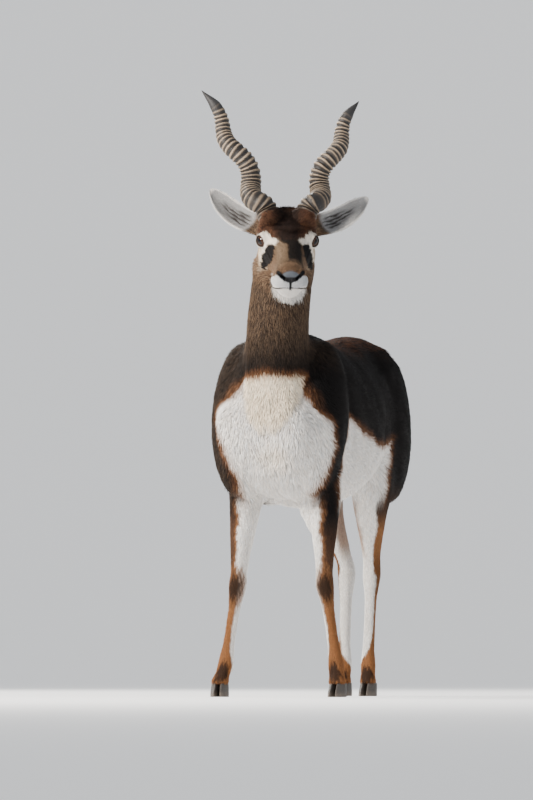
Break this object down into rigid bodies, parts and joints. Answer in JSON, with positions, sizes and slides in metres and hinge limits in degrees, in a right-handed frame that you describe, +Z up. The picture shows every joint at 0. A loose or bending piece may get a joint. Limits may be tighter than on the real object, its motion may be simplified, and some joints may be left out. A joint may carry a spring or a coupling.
{
  "type": "blackbuck",
  "caption": "Life-size standing male blackbuck in winter coat, with ringed corkscrew horns, cupped ears and cloven hooves.",
  "frame": {"origin": "on the floor, below the middle of the whole animal's box", "axes": "+Z up from the soles to the horn tips; the animal faces -Y; +X is the animal's own left"},
  "size_m": [0.3518, 0.9372, 1.3427],
  "materials": {
    "dark_coat": "near-black brown winter fur",
    "grey_coat": "grizzled brown fur",
    "tan_coat": "short tan fur",
    "white_coat": "short white fur",
    "horn": "dull ringed horn",
    "hoof": "dull dark hoof",
    "eye": "wet dark brown"
  },
  "bodies": {
    "root": {"ear_left": "white_coat", "ear_right": "white_coat", "eye_left": "eye", "eye_right": "eye", "forefoot_left_left_claw": "hoof", "forefoot_left_right_claw": "hoof", "forefoot_right_left_claw": "hoof", "forefoot_right_right_claw": "hoof", "foreleg_left": "tan_coat", "foreleg_right": "tan_coat", "head": "grey_coat", "hindfoot_left_left_claw": "hoof", "hindfoot_left_right_claw": "hoof", "hindfoot_right_left_claw": "hoof", "hindfoot_right_right_claw": "hoof", "hindleg_left": "tan_coat", "hindleg_right": "tan_coat", "horn_left": "horn", "horn_right": "horn", "neck": "grey_coat", "tail": "dark_coat", "torso": "dark_coat"}
  },
  "joints": []
}
